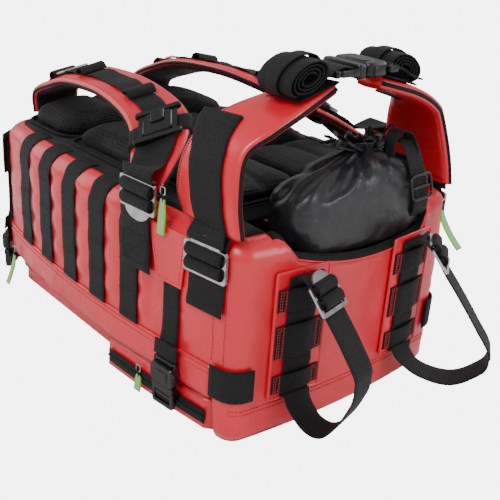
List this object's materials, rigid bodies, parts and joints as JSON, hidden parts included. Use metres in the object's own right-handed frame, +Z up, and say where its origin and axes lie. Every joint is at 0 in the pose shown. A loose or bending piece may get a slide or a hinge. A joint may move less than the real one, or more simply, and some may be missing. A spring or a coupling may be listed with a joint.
{
  "type": "trauma backpack",
  "caption": "Padded rescue backpack with clamshell front panel, front pockets, shoulder straps, hip belt, base pocket with rain cover sack and base straps.",
  "frame": {"origin": "middle of the flat face under the front pockets, on the floor, with the pack lying on its front", "axes": "+X from the head end to the base end with the hip belt, +Y to the wearer's left side, +Z up through the back panel"},
  "size_m": [0.6446, 0.3864, 0.4073],
  "materials": {
    "red_tarpaulin": "coated tarpaulin, glossy",
    "black_webbing": "woven webbing",
    "black_mesh": "padded spacer mesh",
    "chrome_metal": "polished",
    "black_plastic": "moulded, satin gloss",
    "zipper_tape": "coil zipper tape",
    "black_nylon": "coated nylon",
    "frame_plastic": "moulded sheet",
    "lime_tag": "coated tape"
  },
  "bodies": {
    "pack": {"back_pad_middle": "black_mesh", "back_pad_upper": "black_mesh", "base_pocket_liner": "black_nylon", "closing_sockets": "black_plastic", "closing_straps": "black_webbing", "frame_sheet": "frame_plastic", "hip_strap_tails": "black_webbing", "lumbar_pads": "black_mesh", "main_shell": "red_tarpaulin", "main_zipper": "zipper_tape", "molle_strips": "black_webbing", "rain_flaps": "red_tarpaulin", "shoulder_anchors": "black_webbing", "side_gussets": "red_tarpaulin", "strap_patch_webbing": "black_webbing", "strap_patches": "red_tarpaulin", "zip_end_tabs": "black_webbing"},
    "front_panel": {"front_panel": "red_tarpaulin", "front_pocket_upper": "red_tarpaulin", "front_pocket_lower": "red_tarpaulin", "closing_plugs": "black_plastic"},
    "wing_near": {"hip_wing_near": "red_tarpaulin", "hip_webbing_near": "black_webbing", "hip_strap_roll_near": "black_webbing", "hip_buckle_plug": "black_plastic"},
    "wing_far": {"hip_wing_far": "red_tarpaulin", "hip_webbing_far": "black_webbing", "hip_strap_roll_far": "black_webbing", "hip_buckle_socket": "black_plastic"},
    "strap_near": {"shoulder_pad_near": "red_tarpaulin", "shoulder_webbing_near": "black_webbing", "shoulder_buckle_near": "black_plastic", "sternum_band_near": "black_webbing", "shoulder_ring_near": "chrome_metal"},
    "strap_far": {"shoulder_pad_far": "red_tarpaulin", "shoulder_webbing_far": "black_webbing", "shoulder_buckle_far": "black_plastic", "sternum_band_far": "black_webbing", "shoulder_ring_far": "chrome_metal"},
    "shoulder_lock_near": {"shoulder_lock_near": "chrome_metal"},
    "shoulder_lock_far": {"shoulder_lock_far": "chrome_metal"},
    "hip_lock_near": {"hip_lock_near": "chrome_metal"},
    "hip_lock_far": {"hip_lock_far": "chrome_metal"},
    "loop_near": {"base_loop_near": "black_webbing", "base_lock_near": "chrome_metal"},
    "loop_far": {"base_loop_far": "black_webbing", "base_lock_far": "chrome_metal"},
    "sack": {"rain_cover_sack": "black_nylon", "cord_lock_body": "black_plastic"},
    "cord_button": {"cord_lock_button": "black_plastic"},
    "base_pull": {"pull_base": "lime_tag"},
    "front_pull": {"pull_front": "lime_tag"},
    "main_pull": {"pull_main": "lime_tag"},
    "wing_pull_near": {"pull_wing_near": "lime_tag"},
    "wing_pull_far": {"pull_wing_far": "lime_tag"},
    "handle": {"grab_handle": "black_webbing"}
  },
  "joints": [
    {"name": "front_panel_hinge", "type": "hinge", "parent": "pack", "child": "front_panel", "pos_m": [0.252, 0, 0.002], "axis": [0, -1, 0], "range_deg": [0, 100]},
    {"name": "wing_near_hinge", "type": "hinge", "parent": "pack", "child": "wing_near", "pos_m": [0.212, -0.167, 0.238], "axis": [1, 0, 0], "range_deg": [0, 70]},
    {"name": "strap_near_hinge", "type": "hinge", "parent": "pack", "child": "strap_near", "pos_m": [-0.25, -0.08, 0.256], "axis": [0, -1, 0], "range_deg": [0, 12]},
    {"name": "shoulder_lock_near_tilt", "type": "hinge", "parent": "pack", "child": "shoulder_lock_near", "pos_m": [0.12, -0.18824, 0.262], "axis": [-0.997, -0.0775, 0], "range_deg": [0, 30]},
    {"name": "hip_lock_near_tilt", "type": "hinge", "parent": "pack", "child": "hip_lock_near", "pos_m": [0.219, -0.17412, 0.189], "axis": [0.9899, 0.1415, 0], "range_deg": [0, 30]},
    {"name": "loop_near_swing", "type": "hinge", "parent": "pack", "child": "loop_near", "pos_m": [0.27967, -0.087, 0.19], "axis": [-0.0773, -0.997, 0], "range_deg": [0, 10]},
    {"name": "wing_pull_near_swing", "type": "hinge", "parent": "wing_near", "child": "wing_pull_near", "pos_m": [0.1576, -0.1827, 0.262], "axis": [1, 0, 0], "range_deg": [-70, 0]},
    {"name": "wing_far_hinge", "type": "hinge", "parent": "pack", "child": "wing_far", "pos_m": [0.212, 0.167, 0.238], "axis": [-1, 0, 0], "range_deg": [0, 70]},
    {"name": "strap_far_hinge", "type": "hinge", "parent": "pack", "child": "strap_far", "pos_m": [-0.25, 0.08, 0.256], "axis": [0, -1, 0], "range_deg": [0, 12]},
    {"name": "shoulder_lock_far_tilt", "type": "hinge", "parent": "pack", "child": "shoulder_lock_far", "pos_m": [0.12, 0.18824, 0.262], "axis": [0.997, -0.0775, 0], "range_deg": [0, 30]},
    {"name": "hip_lock_far_tilt", "type": "hinge", "parent": "pack", "child": "hip_lock_far", "pos_m": [0.219, 0.17412, 0.189], "axis": [-0.9899, 0.1415, 0], "range_deg": [0, 30]},
    {"name": "loop_far_swing", "type": "hinge", "parent": "pack", "child": "loop_far", "pos_m": [0.27967, 0.087, 0.19], "axis": [0.0773, -0.997, 0], "range_deg": [0, 10]},
    {"name": "wing_pull_far_swing", "type": "hinge", "parent": "wing_far", "child": "wing_pull_far", "pos_m": [0.1576, 0.1827, 0.262], "axis": [-1, 0, 0], "range_deg": [-70, 0]},
    {"name": "sack_slide", "type": "slide", "parent": "pack", "child": "sack", "axis": [1, 0, 0], "range_m": [0, 0.11]},
    {"name": "cord_button_press", "type": "slide", "parent": "sack", "child": "cord_button", "axis": [0, 0, -1], "range_m": [0, 0.006], "stiffness_N_per_m": 300},
    {"name": "base_pull_swing", "type": "hinge", "parent": "pack", "child": "base_pull", "pos_m": [0.27246, 0.132, 0.226], "axis": [0.1177, -0.993, 0], "range_deg": [0, 70]},
    {"name": "front_pull_swing", "type": "hinge", "parent": "front_panel", "child": "front_pull", "pos_m": [0.1182, -0.18369, 0.034], "axis": [-0.9971, -0.0763, 0], "range_deg": [0, 60]},
    {"name": "main_pull_swing", "type": "hinge", "parent": "pack", "child": "main_pull", "pos_m": [-0.2058, -0.17706, 0.058], "axis": [-0.9912, 0.1325, 0], "range_deg": [0, 60]},
    {"name": "handle_swing", "type": "hinge", "parent": "pack", "child": "handle", "pos_m": [-0.261, 0, 0.2185], "axis": [0, 1, 0], "range_deg": [0, 90]}
  ],
  "couplings": [
    {"joint": "wing_pull_near_swing", "follows": "wing_near_hinge", "ratio": -1},
    {"joint": "wing_pull_far_swing", "follows": "wing_far_hinge", "ratio": -1}
  ]
}
